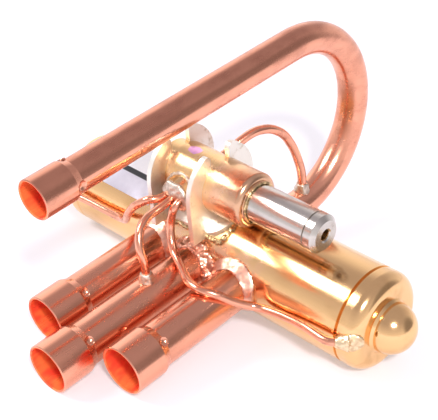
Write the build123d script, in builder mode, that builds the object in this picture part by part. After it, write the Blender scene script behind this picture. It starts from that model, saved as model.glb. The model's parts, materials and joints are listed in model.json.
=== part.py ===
from build123d import *
from math import asin, atan2, cos, degrees, hypot, radians, sin, tan
import os

# Four way reversing valve for a refrigeration circuit. Millimetres.
# The valve is modelled in its own frame: X along the body, the three low side tubes towards -Y, the
# pilot valve above, origin on the body's axis at the middle tube. Each finished piece is then laid
# down by the same turn, so that the valve rests on its body and on the bell of the long suction tube.

# ---- driving dimensions -------------------------------------------------------------------------
body_radius = 18.0
body_wall = 1.6
body_half_length = 64.5  # to the weld groove in front of each end cap

cap_length = 9.0  # from the weld groove to the flat ring of the end cap
cap_shoulder = 5.0  # rounding between skirt and flat ring
nose_radius = 9.2  # round nose in the middle of the cap
nose_root = 0.9  # slope between flat ring and nose
nose_stem = 0.3  # straight part of the nose
groove_depth = 0.7
groove_width = 1.1

port_pitch = 19.65
tube_radius = 8.0  # 16 mm copper tube
tube_wall = 1.0
short_reach = 72.0  # evaporator and condenser mouths, from the body's axis
suction_reach = 87.3  # the middle tube is the long one
discharge_radius = 6.0  # 12 mm copper tube
discharge_wall = 0.9
bell_depth = 12.7  # straight wall of the socket
bell_play = 0.1  # radial, so that a tube end of the same size slips in
bell_neck = 2.5  # length of the cone behind the straight wall
stop_setback = 1.8  # from the end of the straight wall to the middle of the stop dimples
lip = 0.3
stop_bump = 1.7  # radius of the ball that a stop dimple raises in the bore
stop_hollow = 2.3  # radius of the ball that hollows it outside
stop_bump_inset = 0.8  # from the bell's skin inwards to the middle of the bump
stop_hollow_offset = 1.0  # from the bell's skin outwards to the middle of the hollow

discharge_height = 64.8  # the upper leg over the body's axis
discharge_reach = 79.5  # its mouth, on the side of the other tubes
discharge_slope = radians(10.8)  # the lower leg leaves the back of the body downwards
discharge_bend_y = 39.0  # middle of the U bend, behind the body's axis

pilot_y = -4.2
pilot_radius = 10.2
pilot_bore = 6.0
pilot_left = -20.5
pilot_step = -13.5  # the barrel is thinner to the left of this
pilot_right = 18.5  # end of the full barrel
pilot_neck_end = 21.3
pilot_neck_radius = 7.9
pilot_step_radius = 9.2

sleeve_radius = 7.0  # the coil slides over this 14 mm sleeve
sleeve_root_radius = 6.8  # turned down where it is brazed into the barrel
sleeve_wall = 0.6
sleeve_start = 13.0
sleeve_gap = 0.5  # groove between the barrel's neck and the full sleeve
plug_start = 46.0
plug_end = 51.0

ear_radius = 16.2
ear_thickness = 2.0
ear_positions = {"left": -17.5, "right": 2.0}  # left face of each ear
ear_slot = 9.0
saddle_thickness = 1.6

capillary_radius = 1.5
high_pressure_radius = 1.75  # the capillary from the discharge tube is thicker
capillary_bore = 0.6
capillary_pitch = 3.4  # between the three capillaries in the pilot seat
capillary_gap = 0.4  # between a capillary and what it runs past
braze_leg = 3.4

shuttle_travel = port_pitch  # the slide leaves one outer port and covers the other
plunger_travel = 2.5
end_stop_play = 1.0  # left between piston and end cap at the end of the travel

running_fit = 0.05  # radial play of sliding parts
assembly_fit = 0.03  # radial play of parts pushed together and brazed

# ---- derived dimensions -------------------------------------------------------------------------
body_bore = body_radius - body_wall
cap_face = body_half_length + cap_length
pilot_z = body_radius + saddle_thickness + pilot_radius
bell_radius = tube_radius + bell_play + tube_wall
sleeve_bore = sleeve_radius - sleeve_wall
plunger_radius = sleeve_bore - running_fit
shuttle_x = -shuttle_travel / 2  # the slide assembly stands at the left end

# ---- lower leg of the discharge tube: a line through the body's axis, sloping down at the back -----
leg_out = Vector(0, cos(discharge_slope), -sin(discharge_slope))
leg_normal = Vector(0, sin(discharge_slope), cos(discharge_slope))
# the bend's radius is the one that touches both legs
discharge_bend = (discharge_bend_y * sin(discharge_slope) + discharge_height * cos(discharge_slope)) / (
    1 + cos(discharge_slope)
)
bend_middle = Vector(0, discharge_bend_y, discharge_height - discharge_bend)
bend_start = bend_middle - discharge_bend * leg_normal
leg_sink = 1.0  # how far the leg reaches in past the body's wall
discharge_root = (body_bore - leg_sink) * leg_out

# ---- resting pose: the body and the suction bell touch the ground together ---------------------------
bell_contact = suction_reach - lip
rest_tilt = asin(body_radius / hypot(bell_contact, bell_radius)) - atan2(bell_radius, bell_contact)
# the middle of the valve's length along Y, between the suction mouth and the back of the U bend
front_end = -suction_reach * cos(rest_tilt) - (bell_radius - lip) * sin(rest_tilt)
bend_reach = bend_middle.Y * cos(rest_tilt) - bend_middle.Z * sin(rest_tilt)
back_end = bend_reach + discharge_bend + discharge_radius
at_rest = Location((0, -(front_end + back_end) / 2, body_radius), (degrees(rest_tilt), 0, 0))

os.makedirs("parts", exist_ok=True)


def write_piece(piece, name):
    """Lay a finished piece at the resting tilt, label it and write its STEP file."""
    piece.part.move(at_rest)
    piece.part.label = name
    export_step(piece.part, f"parts/{name}.step")


def across_body(x, y=0.0, z=0.0):
    """A plane across the body: its own axes are Y and Z, and it faces +X."""
    return Plane((x, y, z), x_dir=(0, 1, 0), z_dir=(1, 0, 0))


def across_tubes(x, y, z=0.0):
    """A plane across the side tubes: its own axes are X and Z, and it faces -Y."""
    return Plane((x, y, z), x_dir=(1, 0, 0), z_dir=(0, -1, 0))


def bend_radii(points):
    """The largest round bend that each corner of a route of straight runs has room for."""
    radii = []
    for before, corner, after in zip(points, points[1:], points[2:]):
        run_in = Vector(*corner) - Vector(*before)
        run_out = Vector(*after) - Vector(*corner)
        half_turn = radians(run_in.get_angle(run_out)) / 2
        radii.append(0.45 * min(run_in.length, run_out.length) / tan(half_turn))
    return radii


# ---- where the capillaries are brazed in -----------------------------------------------------------
cap_entry_slant = radians(38)
cap_entry_setback = 3.9  # behind the flat ring
entry_sink = 0.4  # under the skin that the capillary goes into


def cap_entry(side, height):
    """The point on a cap, on the front of it and at that angle of height, where its capillary ends."""
    radius = body_radius - entry_sink
    x = side * (cap_face - cap_entry_setback)
    return Vector(x, -radius * cos(height), radius * sin(height))


cap_entries = {"right": cap_entry(1, radians(9.1)), "left": cap_entry(-1, radians(16.5))}
cap_entry_ways = {
    "right": Vector(cos(cap_entry_slant), sin(cap_entry_slant), 0),
    "left": Vector(-cos(cap_entry_slant), sin(cap_entry_slant), 0),
}
suction_entry = Vector(0, -40.5, tube_radius - entry_sink)
discharge_entry_offset = 3.8  # behind the middle of the bend
discharge_entry = bend_middle + Vector(
    0,
    discharge_entry_offset,
    discharge_radius - entry_sink - (discharge_bend**2 - discharge_entry_offset**2) ** 0.5,
)

# ---- body -----------------------------------------------------------------------------------------
port_positions = {"evaporator": -port_pitch, "suction": 0.0, "condenser": port_pitch}

with BuildPart() as valve_body:
    with BuildSketch(across_body(-body_half_length)):
        Circle(body_radius)
        Circle(body_bore, mode=Mode.SUBTRACT)
    extrude(amount=2 * body_half_length)
    for port_x in port_positions.values():
        with BuildSketch(across_tubes(port_x, 0)):
            Circle(tube_radius + assembly_fit)
        extrude(amount=2 * body_radius, mode=Mode.SUBTRACT)
    with BuildSketch(Plane((0, 0, 0), x_dir=(1, 0, 0), z_dir=leg_out)):
        Circle(discharge_radius + assembly_fit)
    extrude(amount=2 * body_radius, mode=Mode.SUBTRACT)
write_piece(valve_body, "valve_body")

# ---- end caps: pressed brass, with weld groove, skirt, flat ring and round nose ---------------------
nose_centre = cap_face + nose_root + nose_stem
nose_tip = nose_centre + nose_radius
nose_inside = nose_radius - body_wall
cap_inside = cap_face - body_wall
shoulder_inside = cap_shoulder - body_wall

for side, name in ((1, "right"), (-1, "left")):
    with BuildPart() as end_cap:
        with BuildSketch(Plane.XY) as cap_section:
            with BuildLine():
                Polyline(
                    (body_half_length, body_bore),
                    (body_half_length, body_radius - groove_depth),
                    (body_half_length + groove_width, body_radius),
                    (cap_face - cap_shoulder, body_radius),
                )
                RadiusArc(
                    (cap_face - cap_shoulder, body_radius),
                    (cap_face, body_radius - cap_shoulder),
                    cap_shoulder,
                )
                Polyline(
                    (cap_face, body_radius - cap_shoulder),
                    (cap_face, nose_radius + nose_root),
                    (cap_face + nose_root, nose_radius),
                    (nose_centre, nose_radius),
                )
                RadiusArc((nose_centre, nose_radius), (nose_tip, 0), nose_radius)
                Line((nose_tip, 0), (nose_tip - body_wall, 0))
                RadiusArc((nose_tip - body_wall, 0), (nose_centre, nose_inside), -nose_inside)
                Polyline(
                    (nose_centre, nose_inside),
                    (cap_inside, nose_inside),
                    (cap_inside, body_bore - shoulder_inside),
                )
                RadiusArc(
                    (cap_inside, body_bore - shoulder_inside),
                    (cap_inside - shoulder_inside, body_bore),
                    -shoulder_inside,
                )
                Line((cap_inside - shoulder_inside, body_bore), (body_half_length, body_bore))
            make_face()
            if side < 0:
                mirror(about=Plane.YZ, mode=Mode.REPLACE)
        revolve(axis=Axis.X)
        with BuildSketch(Plane(cap_entries[name], z_dir=cap_entry_ways[name])):
            Circle(capillary_radius + assembly_fit)
        extrude(amount=body_wall + cap_entry_setback, both=True, mode=Mode.SUBTRACT)
    write_piece(end_cap, f"end_cap_{name}")


# ---- copper tubes: a straight leg with its bell and three stop dimples, drawn once for all ----------
def belled_outline(radius, wall, reach, root):
    """Half section of a tube along -Y, from its root to its belled mouth: (radius, y) points."""
    neck = bell_depth - reach
    bore = radius + bell_play
    outside = bore + wall
    return [
        (radius - wall, root),
        (radius, root),
        (radius, neck + bell_neck),
        (outside, neck - lip),
        (outside, lip - reach),
        (outside - lip, -reach),
        (bore + lip, -reach),
        (bore, lip - reach),
        (bore, neck),
        (radius - wall, neck + bell_neck),
        (radius - wall, root),
    ]


def stop_dimples(radius, wall, reach, x, z, first_angle):
    """Three dimples pressed in behind the bell: a bump in the bore and a hollow over it."""
    skin = radius + bell_play + wall
    with Locations(across_tubes(x, bell_depth + stop_setback - reach, z)):
        with PolarLocations(skin - stop_bump_inset, 3, start_angle=first_angle):
            Sphere(stop_bump)
        with PolarLocations(skin + stop_hollow_offset, 3, start_angle=first_angle):
            Sphere(stop_hollow, mode=Mode.SUBTRACT)


tube_root = -13.0  # the side tubes end inside the seat block
tube_reaches = {"evaporator": short_reach, "suction": suction_reach, "condenser": short_reach}
for name, x in port_positions.items():
    with BuildPart() as side_tube:
        with BuildSketch(Plane((x, 0, 0), x_dir=(1, 0, 0), z_dir=(0, 0, 1))):
            with BuildLine():
                Polyline(*belled_outline(tube_radius, tube_wall, tube_reaches[name], tube_root))
            make_face()
        revolve(axis=Axis((x, 0, 0), (0, 1, 0)))
        stop_dimples(tube_radius, tube_wall, tube_reaches[name], x, 0, 45)
        if name == "suction":
            with BuildSketch(Plane(suction_entry)):
                Circle(capillary_radius + assembly_fit)
            extrude(amount=2 * tube_wall, both=True, mode=Mode.SUBTRACT)
    write_piece(side_tube, f"{name}_tube")

with BuildPart() as discharge_tube:
    with BuildSketch(Plane((0, 0, discharge_height), x_dir=(1, 0, 0), z_dir=(0, 0, 1))):
        with BuildLine():
            Polyline(*belled_outline(discharge_radius, discharge_wall, discharge_reach, bend_middle.Y))
        make_face()
    revolve(axis=Axis((0, 0, discharge_height), (0, 1, 0)))
    stop_dimples(discharge_radius, discharge_wall, discharge_reach, 0, discharge_height, 0)
    with BuildLine(Plane.YZ) as u_bend:
        CenterArc((bend_middle.Y, bend_middle.Z), discharge_bend, 90, -180 - degrees(discharge_slope))
        Line((bend_start.Y, bend_start.Z), (discharge_root.Y, discharge_root.Z))
    with BuildSketch(Plane((0, bend_middle.Y, discharge_height), x_dir=(1, 0, 0), z_dir=(0, 1, 0))):
        Circle(discharge_radius)
        Circle(discharge_radius - discharge_wall, mode=Mode.SUBTRACT)
    sweep(path=u_bend.line)
    with BuildSketch(Plane(discharge_entry)):
        Circle(high_pressure_radius + assembly_fit)
    extrude(amount=2 * discharge_wall, both=True, mode=Mode.SUBTRACT)
write_piece(discharge_tube, "discharge_tube")

# ---- braze fillets round the tubes, cut off half way to the next tube -------------------------------
tube_ways = {name: (x, Vector(0, -1, 0), tube_radius) for name, x in port_positions.items()}
tube_ways["discharge"] = (0.0, leg_out, discharge_radius)
for name, (x, way, radius) in tube_ways.items():
    stub = Plane((x, 0, 0), x_dir=(1, 0, 0), z_dir=way)
    with BuildPart() as braze:
        with BuildSketch(across_body(x - port_pitch)):
            Circle(body_radius)
        extrude(amount=2 * port_pitch)
        with BuildSketch(stub):
            Circle(radius)
        extrude(amount=body_radius + 2 * braze_leg)
        seam = braze.edges().filter_by(lambda edge: edge.geom_type == GeomType.BSPLINE)
        chamfer(seam, length=braze_leg)
        with BuildSketch(across_body(x - port_pitch)):
            Circle(body_radius)
        extrude(amount=2 * port_pitch, mode=Mode.SUBTRACT)
        with BuildSketch(stub):
            Circle(radius)
        extrude(amount=body_radius + 2 * braze_leg, mode=Mode.SUBTRACT)
        with BuildSketch(across_body(x - port_pitch / 2)):
            Circle(2 * body_radius)
        extrude(amount=port_pitch, mode=Mode.INTERSECT)
    write_piece(braze, f"braze_{name}")

# ---- main valve seat: a block in the body with three ports in its flat --------------------------------
seat_flat = -6.5
port_radius = 6.6
seat_half_length = port_pitch + port_radius + 4.75

with BuildPart() as valve_seat:
    with BuildSketch(across_body(-seat_half_length)):
        Circle(body_bore - assembly_fit)
        with Locations((seat_flat, 0)):
            Rectangle(
                2 * body_radius, 2 * body_radius, align=(Align.MIN, Align.CENTER), mode=Mode.SUBTRACT
            )
    extrude(amount=2 * seat_half_length)
    for port_x in port_positions.values():
        with BuildSketch(across_tubes(port_x, seat_flat)):
            Circle(port_radius)
        extrude(amount=body_radius, mode=Mode.SUBTRACT)
        with BuildSketch(across_tubes(port_x, tube_root)):
            Circle(tube_radius + assembly_fit)
        extrude(amount=body_radius, mode=Mode.SUBTRACT)
write_piece(valve_seat, "valve_seat")

# ---- slide assembly: domed slide, carrier plate, two pistons and their cup seals -----------------------
slide_length = port_pitch + 2 * port_radius + 6.0
slide_width = 2 * port_radius + 6.0
slide_base = 2.0
dome_height = 9.0
dome_rim = 1.8  # the dome stands in from the edge of the base by this much
dome_edge = 4.0
dome_roof = 2.5
carrier_thickness = 1.5
carrier_gap = 0.3
slide_floor = seat_flat + running_fit
carrier_floor = slide_floor + slide_base + carrier_gap

with BuildPart() as slide_block:
    base = Plane((shuttle_x, slide_floor, 0), x_dir=(1, 0, 0), z_dir=(0, 1, 0))
    with BuildSketch(base):
        SlotOverall(slide_length, slide_width)
    extrude(amount=slide_base)
    with BuildSketch(base):
        SlotOverall(slide_length - 2 * dome_rim, slide_width - 2 * dome_rim)
    extrude(amount=dome_height)
    fillet(slide_block.faces().sort_by(Axis.Y)[-1].edges(), radius=dome_edge)
    with BuildSketch(base):
        SlotOverall(port_pitch + 2 * port_radius, 2 * port_radius)
    extrude(amount=dome_height - dome_roof, mode=Mode.SUBTRACT)
write_piece(slide_block, "slide_block")

piston_outer = cap_inside - shuttle_travel / 2 - end_stop_play
piston_thickness = 8.5
piston_inner = piston_outer - piston_thickness
carrier_half_length = piston_inner - assembly_fit
carrier_width = 22.0
carrier_hole = 5.0  # gas passes to both sides of the carrier
carrier_hole_middle = (slide_length / 2 + carrier_half_length) / 2
tab_width = 16.0
tab_height = 12.0

with BuildPart() as slide_carrier:
    plate = Plane((shuttle_x, carrier_floor, 0), x_dir=(1, 0, 0), z_dir=(0, 1, 0))
    with BuildSketch(plate):
        Rectangle(2 * carrier_half_length, carrier_width)
        SlotOverall(
            slide_length - 2 * dome_rim + 2 * carrier_gap,
            slide_width - 2 * dome_rim + 2 * carrier_gap,
            mode=Mode.SUBTRACT,
        )
        with Locations((-carrier_hole_middle, 0), (carrier_hole_middle, 0)):
            Circle(carrier_hole, mode=Mode.SUBTRACT)
    extrude(amount=carrier_thickness)
    with BuildSketch(plate):
        with Locations((-carrier_half_length, 0)):
            Rectangle(carrier_thickness, tab_width, align=(Align.MIN, Align.CENTER))
        with Locations((carrier_half_length, 0)):
            Rectangle(carrier_thickness, tab_width, align=(Align.MAX, Align.CENTER))
    extrude(amount=tab_height)
write_piece(slide_carrier, "slide_carrier")

piston_flange = 1.8
piston_core = 10.0
piston_play = 1.0
clamp_rim = 3.0
seal_base = 1.3
seal_lip = 1.1
for side, name in ((1, "right"), (-1, "left")):
    with BuildPart() as piston:
        for start, thickness, radius in (
            (piston_inner, piston_flange, body_bore - piston_play),
            (piston_inner + piston_flange, piston_outer - piston_inner - 2 * piston_flange, piston_core),
            (piston_outer - piston_flange, piston_flange, piston_core + clamp_rim),
        ):
            with BuildSketch(across_body(shuttle_x + side * start)):
                Circle(radius)
            extrude(amount=side * thickness)
    write_piece(piston, f"piston_{name}")

    seal_start = piston_inner + piston_flange + assembly_fit
    seal_end = piston_outer - piston_flange - assembly_fit
    with BuildPart() as piston_seal:
        with BuildSketch(across_body(shuttle_x + side * seal_start)):
            Circle(body_bore - running_fit)
            Circle(piston_core + assembly_fit, mode=Mode.SUBTRACT)
        extrude(amount=side * seal_base)
        with BuildSketch(across_body(shuttle_x + side * seal_start)):
            Circle(body_bore - running_fit)
            Circle(body_bore - running_fit - seal_lip, mode=Mode.SUBTRACT)
        extrude(amount=side * (seal_end - seal_start))
    write_piece(piston_seal, f"piston_seal_{name}")

# ---- pilot valve body: a turned barrel with a stepped left end and a neck for the sleeve ---------------
pilot_axis = Axis((0, pilot_y, pilot_z), (1, 0, 0))
pilot_section = Plane((0, pilot_y, pilot_z), x_dir=(1, 0, 0), z_dir=(0, -1, 0))
seat_x = -6.5  # middle of the pilot seat along the barrel
stub_radius = 6.0
stub_slope = radians(8)
stub_way = Vector(0, -cos(stub_slope), -sin(stub_slope))
stub_plane = Plane((seat_x, pilot_y, pilot_z), x_dir=(1, 0, 0), z_dir=stub_way)
stub_inner = 3.2
stub_outer = 13.4
stub_edge = 1.0
seat_hole_depth = 3.0
seat_insertion = 2.8  # the capillaries stop a little short of the bottom of their holes
shoulder = 2.2
back_hole_height = 1.8  # the high pressure hole lies this much over the barrel's axis
edge_break = 1.0
neck_slope = 0.6

with BuildPart() as pilot_body:
    with BuildSketch(pilot_section):
        with BuildLine():
            Polyline(
                (pilot_left, 0),
                (pilot_left, pilot_step_radius - edge_break),
                (pilot_left + edge_break, pilot_step_radius),
                (pilot_step, pilot_step_radius),
                (pilot_step, pilot_radius),
                (pilot_right, pilot_radius),
            )
            RadiusArc((pilot_right, pilot_radius), (pilot_right + shoulder, pilot_radius - shoulder), shoulder)
            Polyline(
                (pilot_right + shoulder, pilot_radius - shoulder),
                (pilot_neck_end - neck_slope, pilot_neck_radius),
                (pilot_neck_end, pilot_neck_radius - neck_slope),
                (pilot_neck_end, sleeve_root_radius + assembly_fit),
                (sleeve_start, sleeve_root_radius + assembly_fit),
                (sleeve_start, pilot_bore),
                (pilot_step, pilot_bore),
                (pilot_step, 0),
                (pilot_left, 0),
            )
        make_face()
    revolve(axis=pilot_axis)
    with BuildSketch(stub_plane):
        Circle(stub_radius + assembly_fit)
    extrude(amount=2 * pilot_radius, mode=Mode.SUBTRACT)
    # the high pressure capillary comes in at the back of the barrel
    with BuildSketch(Plane((seat_x, pilot_y, pilot_z + back_hole_height), x_dir=(1, 0, 0), z_dir=(0, 1, 0))):
        Circle(high_pressure_radius + assembly_fit)
    extrude(amount=2 * pilot_radius, mode=Mode.SUBTRACT)
write_piece(pilot_body, "pilot_body")

with BuildPart() as pilot_seat:
    with BuildSketch(stub_plane.offset(stub_inner)):
        Circle(stub_radius)
    extrude(amount=stub_outer - stub_inner)
    fillet(pilot_seat.faces().sort_by(Axis.Y)[0].edges(), radius=stub_edge)
    with BuildSketch(stub_plane):
        with GridLocations(capillary_pitch, 0, 3, 1):
            Circle(capillary_bore)
    extrude(amount=2 * stub_outer, mode=Mode.SUBTRACT)
    with BuildSketch(stub_plane.offset(stub_outer - seat_hole_depth)):
        with GridLocations(capillary_pitch, 0, 3, 1):
            Circle(capillary_radius + assembly_fit)
    extrude(amount=stub_outer, mode=Mode.SUBTRACT)
write_piece(pilot_seat, "pilot_seat")

# ---- sleeve, end plug, plunger, spring and pilot slide ---------------------------------------------------
with BuildPart() as pilot_sleeve:
    with BuildSketch(across_body(sleeve_start, pilot_y, pilot_z)):
        Circle(sleeve_root_radius)
    extrude(amount=plug_start - sleeve_start)
    with BuildSketch(across_body(pilot_neck_end + sleeve_gap, pilot_y, pilot_z)):
        Circle(sleeve_radius)
    extrude(amount=plug_start - pilot_neck_end - sleeve_gap)
    with BuildSketch(across_body(sleeve_start, pilot_y, pilot_z)):
        Circle(sleeve_bore)
    extrude(amount=plug_start - sleeve_start, mode=Mode.SUBTRACT)
write_piece(pilot_sleeve, "pilot_sleeve")

plug_inner = 37.0
plug_chamfer = 1.6
weld_groove = 0.5
screw_hole = 2.1  # tapping size of the M5 coil screw
screw_depth = 6.5
screw_mouth = 0.5  # countersink at the mouth of the screw hole

with BuildPart() as sleeve_plug:
    with BuildSketch(pilot_section):
        with BuildLine():
            Polyline(
                (plug_inner, 0),
                (plug_inner, sleeve_bore - assembly_fit),
                (plug_start, sleeve_bore - assembly_fit),
                (plug_start, sleeve_radius - weld_groove),
                (plug_start + weld_groove, sleeve_radius),
                (plug_end - plug_chamfer, sleeve_radius),
                (plug_end, sleeve_radius - plug_chamfer),
                (plug_end, screw_hole + screw_mouth),
                (plug_end - screw_mouth, screw_hole),
                (plug_end - screw_depth, screw_hole),
                (plug_end - screw_depth - screw_hole / 2, 0),
                (plug_inner, 0),
            )
        make_face()
    revolve(axis=pilot_axis)
write_piece(sleeve_plug, "sleeve_plug")

plunger_play = 1.0  # left between plunger and plug at the end of the travel
plunger_start = sleeve_start + 1.5
plunger_end = plug_inner - plunger_travel - plunger_play
nose_start = -11.5
nose_flat = 0.9  # the flat that carries the pilot slide, from the axis towards the seat
nose_flat_end = 1.5
nose_size = 4.8
peg_radius = 1.2  # the pilot slide's peg in the flat
peg_hole_depth = 2.0
peg_length = 1.8
pilot_slide_length = 9.0
pilot_slide_width = 4.5
spring_pocket = 8.0
spring_pocket_radius = 3.9

with BuildPart() as pilot_plunger:
    with BuildSketch(across_body(plunger_start, pilot_y, pilot_z)):
        Circle(plunger_radius)
    extrude(amount=plunger_end - plunger_start)
    with BuildSketch(across_body(nose_start, pilot_y, pilot_z)):
        Circle(nose_size)
    extrude(amount=plunger_start - nose_start)
    with BuildSketch(stub_plane.offset(nose_flat)):
        with Locations((nose_flat_end - seat_x, 0)):
            Rectangle(2 * pilot_radius, 2 * pilot_radius, align=(Align.MAX, Align.CENTER))
    extrude(amount=pilot_radius, mode=Mode.SUBTRACT)
    with BuildSketch(stub_plane.offset(nose_flat)):
        Circle(peg_radius + assembly_fit)
    extrude(amount=-peg_hole_depth, mode=Mode.SUBTRACT)
    with BuildSketch(across_body(plunger_end, pilot_y, pilot_z)):
        Circle(spring_pocket_radius)
    extrude(amount=-spring_pocket, mode=Mode.SUBTRACT)
write_piece(pilot_plunger, "pilot_plunger")

with BuildPart() as pilot_slide:
    with BuildSketch(stub_plane.offset(nose_flat + assembly_fit)):
        Rectangle(pilot_slide_length, pilot_slide_width)
    extrude(amount=stub_inner - nose_flat - assembly_fit - running_fit)
    with BuildSketch(stub_plane.offset(nose_flat + assembly_fit)):
        Circle(peg_radius)
    extrude(amount=-peg_length)
write_piece(pilot_slide, "pilot_slide")

spring_wire = 0.4
spring_turns = 5
spring_start = plunger_end - spring_pocket + spring_wire + assembly_fit
spring_length = plug_inner - assembly_fit - spring_wire - spring_start
spring_radius = 3.1

with BuildPart() as pilot_spring:
    with BuildLine() as coil:
        Helix(
            pitch=spring_length / spring_turns,
            height=spring_length,
            radius=spring_radius,
            center=(spring_start, pilot_y, pilot_z),
            direction=(1, 0, 0),
        )
    with BuildSketch(Plane(coil.line @ 0, z_dir=coil.line % 0)):
        Circle(spring_wire)
    sweep(path=coil.line)
write_piece(pilot_spring, "pilot_spring")

# ---- bracket: a saddle on the body with two round, slotted ears that hold the barrel ----------------------
ear_foot = body_radius - 5.8
ear_tip = 2.0
saddle_length = 36.0
saddle_middle = -7.0
saddle_clearance = 0.1
# the saddle's front edge stays clear of the braze round the middle tube
saddle_half_width = (body_radius**2 - (tube_radius + braze_leg) ** 2) ** 0.5 + pilot_y - saddle_clearance
saddle_corner = saddle_half_width - 0.6

with BuildPart() as pilot_bracket:
    with BuildSketch(Plane((saddle_middle, pilot_y, 0))):
        RectangleRounded(saddle_length, 2 * saddle_half_width, saddle_corner)
    extrude(amount=2 * body_radius)
    with BuildSketch(across_body(-2 * body_radius)):
        Circle(body_radius + saddle_thickness)
    extrude(amount=4 * body_radius, mode=Mode.INTERSECT)
    for name, x in ear_positions.items():
        hole = pilot_step_radius if name == "left" else pilot_radius
        with BuildSketch(across_body(x, pilot_y, pilot_z)):
            Circle(ear_radius)
            with Locations((0, ear_foot - pilot_z)):
                Rectangle(2 * ear_radius, pilot_z - ear_foot, align=(Align.CENTER, Align.MIN))
            with Locations((0, ear_radius)):
                Rectangle(ear_slot, 2 * ear_radius, mode=Mode.SUBTRACT)
            Circle(hole + assembly_fit, mode=Mode.SUBTRACT)
        extrude(amount=ear_thickness)
    fillet(pilot_bracket.edges().filter_by(Axis.X).group_by(Axis.Z)[-1], radius=ear_tip)
    with BuildSketch(across_body(-2 * body_radius)):
        Circle(body_radius)
    extrude(amount=4 * body_radius, mode=Mode.SUBTRACT)
write_piece(pilot_bracket, "pilot_bracket")

# ---- the body's label: a bare film on the tube, left of the bracket -----------------------------------------
label_left = 6.5 - body_half_length
label_right = saddle_middle - saddle_length / 2 - 2.0
label_half_width = 12.0
label_middle = -1.5
film = 0.15

with BuildPart() as body_label:
    with BuildSketch(Plane((label_left, label_middle, 0))):
        Rectangle(
            label_right - label_left, 2 * label_half_width, align=(Align.MIN, Align.CENTER)
        )
    extrude(amount=2 * body_radius)
    with BuildSketch(across_body(label_left)):
        Circle(body_radius + film)
        Circle(body_radius, mode=Mode.SUBTRACT)
    extrude(amount=label_right - label_left, mode=Mode.INTERSECT)
write_piece(body_label, "body_label")


# ---- capillaries: bent copper tubes from the pilot valve to body, cap and tubes --------------------------------
seat_run = 4.0  # straight run out of the pilot seat
entry_run = 6.0  # straight run into a cap
suction_run = 7.5
discharge_run = 9.0
over_tubes = tube_radius + capillary_radius + capillary_gap
beside_body = body_radius + capillary_radius + capillary_gap


def off_seat(number, distance):
    """A point in front of one of the three seat ports, counted along the body from -1 to 1."""
    middle = Vector(seat_x + number * capillary_pitch, pilot_y, pilot_z)
    return middle + (stub_outer + distance) * stub_way


def way_in(end, way, distance):
    """A point in front of an entry hole, so that the last run is straight."""
    return end - distance * way


def part_way(start, end, along, out, up):
    """A point that has gone these parts of the way from start to end, in X, Y and Z."""
    way = end - start
    return start + Vector(along * way.X, out * way.Y, up * way.Z)


def before_body(pitches, radii, height):
    """A point in front of the body: so many port pitches along it, so many radii out, at a height."""
    return Vector(pitches * port_pitch, -radii * body_radius, height)


barrel_back = Vector(seat_x, pilot_y + 7.6, pilot_z + back_hole_height)
down = Vector(0, 0, -1)
right_turn = before_body(1.705, 1.17, 0.03 * body_radius)
left_turn = before_body(-1.78, 1.13, 0.34 * body_radius)
routes = {
    "right": [
        off_seat(1, -seat_insertion),
        off_seat(1, seat_run),
        before_body(-0.285, 1.24, 1.03 * body_radius),
        before_body(-0.09, 1.44, 0.64 * body_radius),
        before_body(0.28, 1.61, over_tubes),
        before_body(0.66, 1.86, over_tubes),
        before_body(0.99, 1.93, over_tubes),
        before_body(1.27, 1.755, 0.48 * body_radius),
        before_body(1.485, 1.475, 0.21 * body_radius),
        right_turn,
        Vector(part_way(right_turn, cap_entries["right"], 0.21, 0, 0).X, -beside_body, 0.08 * body_radius),
        Vector(part_way(right_turn, cap_entries["right"], 0.51, 0, 0).X, -beside_body, 0.16 * body_radius),
        way_in(cap_entries["right"], cap_entry_ways["right"], entry_run),
        cap_entries["right"],
    ],
    "left": [
        off_seat(-1, -seat_insertion),
        off_seat(-1, seat_run),
        before_body(-0.64, 1.39, pilot_z - 1.8),
        before_body(-0.89, 1.53, pilot_z - 5.3),
        before_body(-1.17, 1.48, body_radius),
        before_body(-1.45, 1.31, 0.58 * body_radius),
        left_turn,
        Vector(part_way(left_turn, cap_entries["left"], 0.26, 0, 0).X, -beside_body, 0.3 * body_radius),
        Vector(part_way(left_turn, cap_entries["left"], 0.55, 0, 0).X, -beside_body, 0.29 * body_radius),
        way_in(cap_entries["left"], cap_entry_ways["left"], entry_run),
        cap_entries["left"],
    ],
    "suction": [
        off_seat(0, -seat_insertion),
        off_seat(0, seat_run + 2),
        part_way(off_seat(0, 0), suction_entry, 0.08, 0.64, 0.03),
        part_way(off_seat(0, 0), suction_entry, 0.32, 0.87, 0.14),
        part_way(off_seat(0, 0), suction_entry, 0.72, 1.0, 0.36),
        way_in(suction_entry, down, suction_run),
        suction_entry,
    ],
    "discharge": [
        barrel_back,
        part_way(barrel_back, discharge_entry, 0, 0.18, 0),
        part_way(barrel_back, discharge_entry, 0.2, 0.31, -0.08),
        part_way(barrel_back, discharge_entry, 0.42, 0.47, -0.13),
        part_way(barrel_back, discharge_entry, 0.6, 0.65, -0.07),
        part_way(barrel_back, discharge_entry, 0.74, 0.81, 0.09),
        part_way(barrel_back, discharge_entry, 0.86, 0.93, 0.37),
        way_in(discharge_entry, down, discharge_run),
        discharge_entry,
    ],
}

for name, points in routes.items():
    radius = high_pressure_radius if name == "discharge" else capillary_radius
    with BuildPart() as capillary:
        with BuildLine() as route:
            FilletPolyline(*points, radius=bend_radii(points))
        with BuildSketch(Plane(route.wires()[0] @ 0, z_dir=route.wires()[0] % 0)):
            Circle(radius)
            Circle(capillary_bore, mode=Mode.SUBTRACT)
        sweep(path=route.wires()[0])
    write_piece(capillary, f"capillary_{name}")

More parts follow.
